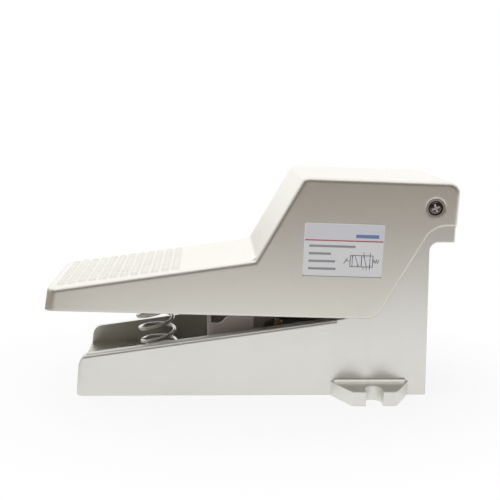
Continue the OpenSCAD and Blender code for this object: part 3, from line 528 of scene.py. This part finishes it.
def spool_spring():
    """Spring under the spool."""
    low, high = SPOOL_SPRING_ENDS
    turns = coil(SPOOL_SPRING_MEAN_R, SPOOL_SPRING_WIRE, SPOOL_SPRING_TURNS, high - low, phase=0, steps=24)
    path = [(SPOOL_X + x, y, low + z) for x, y, z in turns]
    verts, faces = wire(path, SPOOL_SPRING_WIRE / 2, sides=10)
    sprung("spool_spring_wire", "spool_spring", "spring_steel", verts, faces)


def lock_spring():
    """Tension spring with an eye at each end, from the base to the lock lever's tail."""
    dx, dz = LOCK_TAIL[0] - LOCK_ANCHOR[0], LOCK_TAIL[1] - LOCK_ANCHOR[1]
    length = math.hypot(dx, dz)
    eye_step, steps = 10, 20
    eye = []
    for angle in range(LOCK_EYE_START, LOCK_EYE_END + 1, eye_step):
        a = math.radians(angle)
        eye.append((0, LOCK_MEAN_R * math.sin(a), LOCK_MEAN_R * (1 - math.cos(a)) + LOCK_EYE_LIFT))
    low = 2 * LOCK_MEAN_R + LOCK_EYE_LIFT + LOCK_EYE_GAP
    high = length - low
    body = []
    for i in range(LOCK_TURNS * steps + 1):
        a = 2 * math.pi * i / steps - math.pi / 2
        rise = low + (high - low) * i / LOCK_TURNS / steps
        body.append((LOCK_MEAN_R * math.cos(a), LOCK_MEAN_R * math.sin(a), rise))
    path = eye + body + [(x, y, length - z) for x, y, z in reversed(eye)]
    lean = -math.degrees(math.atan2(dx, dz))
    verts, faces = wire(leaned(path, LOCK_ANCHOR, lean), LOCK_WIRE / 2, sides=10)
    sprung("lock_spring_wire", "lock_spring", "yellow_spring", verts, faces)


def port_threads():
    """Internal pipe thread in each port, a closed helical ridge that fades out at both ends."""
    verts, faces = [], []
    steps, fade_steps = 40, 14
    count = THREAD_TURNS * steps + 1
    root = PORT_R + THREAD_SINK
    for port in range(PORT_COUNT):
        y = PORT_OFFSET if port % 2 else -PORT_OFFSET
        z = PORT_MIDDLE_Z + (port - PORT_COUNT // 2) * PORT_STEP
        first = len(verts)
        for i in range(count):
            a = 2 * math.pi * i / steps
            along = BOSS_X - THREAD_START - THREAD_PITCH * i / steps
            fade = min(1.0, i / fade_steps, (count - 1 - i) / fade_steps)
            crest = PORT_R - THREAD_DEPTH * fade
            for radius, shift in ((root, -THREAD_HALF_W), (crest, 0.0), (root, THREAD_HALF_W)):
                verts.append((along + shift, y + radius * math.cos(a), z + radius * math.sin(a)))
        faces += tube_faces(first, count, 3)
        faces.append((first + 2, first + 1, first))
        faces.append(tuple(range(len(verts) - 3, len(verts))))
    obj = piece("port_threads", verts, faces, [MATS["valve_alu"]], False)
    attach(obj, "base")


def screw_recesses():
    """Cross recess with sloping walls in the head of each hinge screw, near white as a painted highlight."""
    near, far = RECESS_RIM_DEPTHS
    half_w = RECESS_HALF_W
    arm = [(half_w, -half_w, near), (half_w, half_w, near), (RECESS_REACH, half_w, far),
           (RECESS_REACH, -half_w, far), (0, 0, RECESS_DEPTH), (RECESS_TOE_REACH, 0, RECESS_TOE_DEPTH)]
    # Two sloping sides and the toe, by the numbers of the arm's points
    walls = ((0, 3, 5, 4), (2, 1, 4, 5), (3, 2, 5))
    verts, faces = [], []
    for side in (-1, 1):
        for quarter in range(4):
            turn = math.radians(RECESS_TURN + 90 * quarter)
            c, s = math.cos(turn), math.sin(turn)
            first = len(verts)
            for u, v, depth in arm:
                x, z = u * c - v * s, u * s + v * c
                verts.append((PIVOT[0] + x, side * (HEAD_FACE_Y - depth), PIVOT[2] + z))
            for wall in walls:
                faces.append(tuple(first + k for k in wall[::side]))
    obj = piece("screw_recesses", verts, faces, [MATS["recess_highlight_steel"]], False)
    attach(obj, "base")


class PlatePrint:
    """Collects flat print on the name plate, drawn in the plate's own axes from its middle."""

    inks = ["print_header", "print_red", "print_dark", "print_grey", "print_blue", "plate_shadow_line"]

    def __init__(self):
        self.verts, self.faces, self.slots = [], [], []
        self.cos, self.sin = math.cos(math.radians(REST_TILT)), math.sin(math.radians(REST_TILT))

    def patch(self, outline, ink, lift, start=0.0):
        """A patch that stands on the height start over the plate's face and ends at lift."""
        first, count = len(self.verts), len(outline)
        for height in (start, lift):
            for u, v in outline:
                x, z = PLATE[0] + u * self.cos + v * self.sin, PLATE[2] - u * self.sin + v * self.cos
                self.verts.append((x, PLATE_FACE_Y - height, z))
        self.faces.append(tuple(range(first + count, first + 2 * count)))
        self.faces += tube_faces(first, 2, count)
        self.slots += [self.inks.index(ink)] * (count + 1)

    def line(self, a, b, width, ink="print_dark", lift=INK_LIFT, start=0.0):
        a, b = Vector(a), Vector(b)
        side = (b - a).orthogonal().normalized() * width / 2
        self.patch([a - side, b - side, b + side, a + side], ink, lift, start)

    def arrow(self, a, b):
        self.line(a, b, STROKE_W)
        a, b = Vector(a), Vector(b)
        along = (b - a).normalized()
        side = along.orthogonal() * ARROW_HEAD_HALF_W
        back = b - along * ARROW_HEAD_L
        self.patch([b, back + side, back - side], "print_dark", ARROW_HEAD_LIFT)


def print_blanks(ink):
    """Header band, red rule, blank bars and a painted shadow line under the plate's lower edge."""
    right, top = PLATE_L / 2 - PRINT_INSET, PLATE_H / 2 - PRINT_INSET
    rule = top - HEADER_H
    ink.patch([(-right, rule), (right, rule), (right, top), (-right, top)], "print_header", BAND_LIFT)
    ink.line((-right, rule - RULE_W / 2), (right, rule - RULE_W / 2), RULE_W, "print_red")
    title_end, title_v = right - TEXT_INSET, top - TITLE_DROP
    ink.line((title_end - TITLE_L, title_v), (title_end, title_v), TITLE_W, "print_blue")
    bar_start = TEXT_INSET - right
    for i, length in enumerate(BAR_LENGTHS):
        v = rule - BAR_DROP - i * BAR_STEP
        ink.line((bar_start, v), (bar_start + length, v), BAR_W, "print_grey")
    # Painted shadow: a dark strip on the pedal's side just under the plate
    shadow_line_v = -PLATE_H / 2 - SHADOW_LINE_W / 2
    ink.line((-PLATE_L / 2, shadow_line_v), (PLATE_L / 2, shadow_line_v), SHADOW_LINE_W, "plate_shadow_line", -PLATE_T / 2, -PLATE_T)


def print_symbol(ink):
    """Generic symbol of a five-port valve with a lever and a return spring."""
    box = SYMBOL_BOX
    first, mid, last = SYMBOL_PORTS

    def at(u, v):
        return SYMBOL_CORNER[0] + u, SYMBOL_CORNER[1] + v

    for x in (0, box):
        ring = [at(x, 0), at(x + box, 0), at(x + box, box), at(x, box)]
        for a, b in zip(ring, ring[1:] + ring[:1]):
            ink.line(a, b, OUTLINE_W)
    ink.arrow(at(first, 0), at(first, box))
    ink.arrow(at(SYMBOL_SLANT, box), at(last, 0))
    ink.arrow(at(box + mid, 0), at(box + first, box))
    ink.arrow(at(box + last, box), at(box + last, 0))
    for u in SYMBOL_PORTS:
        ink.line(at(box + u, -SYMBOL_TICK), at(box + u, 0), STROKE_W)
    for u in (first, last):
        ink.line(at(box + u, box), at(box + u, box + SYMBOL_TICK), STROKE_W)
    zigzag = [at(2 * box + ZIGZAG_STEP * k, box / 2 + (ZIGZAG_H if k % 2 else -ZIGZAG_H))
              for k in range(ZIGZAG_POINTS)]
    for a, b in zip(zigzag, zigzag[1:]):
        ink.line(a, b, ZIGZAG_W)
    ink.line(at(0, box / 2), at(-ROD_L, box / 2), STROKE_W)
    lever_foot = at(-ROD_L - LEVER_REACH, box / 2 - LEVER_H)
    lever_top = at(-ROD_L + LEVER_REACH, box / 2 + LEVER_H)
    ink.line(lever_foot, lever_top, LEVER_W)


def plate_print():
    """Print on the name plate, without words."""
    ink = PlatePrint()
    print_blanks(ink)
    print_symbol(ink)
    obj = piece("plate_print", ink.verts, ink.faces, [MATS[name] for name in ink.inks], False, ink.slots)
    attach(obj, "pedal")


return_spring()
spool_spring()
lock_spring()
port_threads()
screw_recesses()
plate_print()

# Floor, in metres and linear colours; the front and left parts are dim only where a surface mirrors them,
# and near the object a mirroring surface sees painted shade
WHITE = (1.0, 1.0, 1.0)
FLOOR_HALF = 6.0
FLOOR_DROP = 0.0003
FLOOR_TONES = ((0.87, 0.87, 0.87), (0.89, 0.89, 0.89))
FLOOR_ROUGH = 0.9
SHADOW_STRETCH = (0.8, 1.1, 0.0)
SHADOW_FADE = {"start": 0.09, "stop": 0.17, "low": 0.87, "high": 1.0}
FLOOR_FRONT = {"start": -0.15, "stop": -0.60}
FLOOR_LEFT = {"start": -0.09, "stop": -0.25}
FLOOR_DIM = (0.27, 0.225, 0.18)
MIRRORED_SHADE_REACH = {"start": 0.03, "stop": 0.13, "low": 0.3, "high": 0.0}
MIRRORED_SHADE_TONE = (0.55, 0.53, 0.48)

# World, by direction: a light tent with a darker room in front and darker walls low at both sides
SKY_FILL = (0.48, 0.48, 0.48)
TENT = (1.14, 1.14, 1.14)
ROOM = (0.085, 0.062, 0.045)
ROOM_FRONT = {"start": 0.0, "stop": -0.4}
ROOM_TOP = {"start": 0.88, "stop": 0.64}
SIDE_WALLS = {"start": 0.5, "stop": 0.9, "high": 0.7}
SIDE_TOP = {"start": 0.6, "stop": 0.2}

# Lamp, in metres and watts
LAMP_PLACE = (-0.50, 0.16, 0.86)
LAMP_TARGET = (0, 0, 0.05)
LAMP_SIZE = (1.5, 1.2)
LAMP_POWER = 6.5

# Camera solved from the photo's parallel edges: place in metres, focal length in the photo's pixels
CAMERA_PLACE = (-0.02425, -0.45458, 0.17291)
CAMERA_RIGHT = (0.9985, -0.05194, 0.01713)
CAMERA_UP = (-0.00637, 0.20062, 0.97965)
CAMERA_AHEAD = (0.05432, 0.97829, -0.19999)
FOCAL_PX = 771.1
PHOTO_PX = 500.0
SENSOR_W = 36.0
CLIP_START = 0.01


class WorldNodes(Nodes):
    """The same short forms for a world's node tree."""

    def __init__(self, tree):
        self.tree = tree
        tree.nodes.clear()
        self.coord = self.add("ShaderNodeTexCoord").outputs["Generated"]


def floor_material():
    """Pale floor that keeps the shadow near the object, fades to white, shows mirroring surfaces a painted
    shadow near the object and is clear from below.
    """
    n = Nodes("floor")
    n.set(Base_Color=n.mix(n.cloud(scale=3.0), *FLOOR_TONES), Roughness=FLOOR_ROUGH, Specular_IOR_Level=0.0)
    direct, mirrored = n.rays()
    place = n.split(n.coord)
    reach = n.add("ShaderNodeVectorMath", operation="LENGTH")
    n.link(n.stretch(SHADOW_STRETCH), reach.inputs[0])
    far = n.ramp(reach.outputs["Value"], **SHADOW_FADE)
    near = n.ramp(n.math("ABSOLUTE", place["Y"]), **MIRRORED_SHADE_REACH)
    dim = n.math("MAXIMUM", n.ramp(place["Y"], **FLOOR_FRONT), n.ramp(place["X"], **FLOOR_LEFT))
    # Painted shadow: near the object, the floor that surfaces mirror is darkened
    tone = n.mix(n.math("MULTIPLY", mirrored, near), WHITE, MIRRORED_SHADE_TONE)
    glow = n.add("ShaderNodeEmission")
    n.link(n.mix(n.math("MULTIPLY", mirrored, dim), tone, FLOOR_DIM), glow.inputs["Color"])
    glowing = n.math("MAXIMUM", mirrored, n.math("MULTIPLY", direct, far))
    from_above = n.mix_shaders(glowing, n.shader.outputs[0], glow.outputs[0])
    below = n.add("ShaderNodeNewGeometry").outputs["Backfacing"]
    clear = n.add("ShaderNodeBsdfTransparent").outputs[0]
    n.link(n.mix_shaders(below, from_above, clear), n.out.inputs[0])
    return n.mat


def stage_floor():
    """Wide square floor just under the object."""
    mesh = bpy.data.meshes.new("floor")
    square = ((-1, -1), (1, -1), (1, 1), (-1, 1))
    mesh.from_pydata([(x * FLOOR_HALF, y * FLOOR_HALF, -FLOOR_DROP) for x, y in square], [], [(0, 1, 2, 3)])
    mesh.materials.append(floor_material())
    obj = bpy.data.objects.new("floor", mesh)
    scene.collection.objects.link(obj)


def set_world():
    """White backdrop; glossy surfaces mirror the tent and the room instead."""
    world = bpy.data.worlds.new("studio")
    scene.world = world
    world.use_nodes = True
    n = WorldNodes(world.node_tree)
    direct, mirrored = n.rays()
    place = n.split(n.coord)
    front = n.math("MULTIPLY", n.ramp(place["Y"], **ROOM_FRONT), n.ramp(place["Z"], **ROOM_TOP))
    walls = n.ramp(n.math("ABSOLUTE", place["X"]), **SIDE_WALLS)
    aside = n.math("MULTIPLY", walls, n.ramp(place["Z"], **SIDE_TOP))
    studio = n.mix(n.math("MAXIMUM", front, aside), TENT, ROOM)
    lit = n.mix(mirrored, SKY_FILL, studio)
    back = n.add("ShaderNodeBackground")
    n.link(n.mix(direct, lit, WHITE), back.inputs["Color"])
    n.link(back.outputs[0], n.add("ShaderNodeOutputWorld").inputs[0])


def key_lamp():
    """Wide soft lamp above, which neither the camera nor a mirroring surface sees."""
    data = bpy.data.lights.new("key_top", "AREA")
    data.shape = "RECTANGLE"
    data.size, data.size_y = LAMP_SIZE
    data.energy = LAMP_POWER
    obj = bpy.data.objects.new("key_top", data)
    obj.location = LAMP_PLACE
    obj.rotation_euler = (Vector(LAMP_TARGET) - Vector(LAMP_PLACE)).to_track_quat("-Z", "Y").to_euler()
    obj.visible_camera = False
    obj.visible_glossy = False
    scene.collection.objects.link(obj)


def set_camera():
    """Camera at the photo's viewing angle."""
    data = bpy.data.cameras.new("camera")
    data.sensor_width = SENSOR_W
    data.sensor_fit = "HORIZONTAL"
    data.lens = SENSOR_W * FOCAL_PX / PHOTO_PX
    data.clip_start = CLIP_START
    turn = Matrix((CAMERA_RIGHT, CAMERA_UP, -Vector(CAMERA_AHEAD))).transposed().to_4x4()
    obj = bpy.data.objects.new("camera", data)
    obj.matrix_world = Matrix.Translation(CAMERA_PLACE) @ turn
    scene.collection.objects.link(obj)
    scene.camera = obj


stage_floor()
set_world()
key_lamp()
set_camera()
scene.view_settings.view_transform = "Standard"
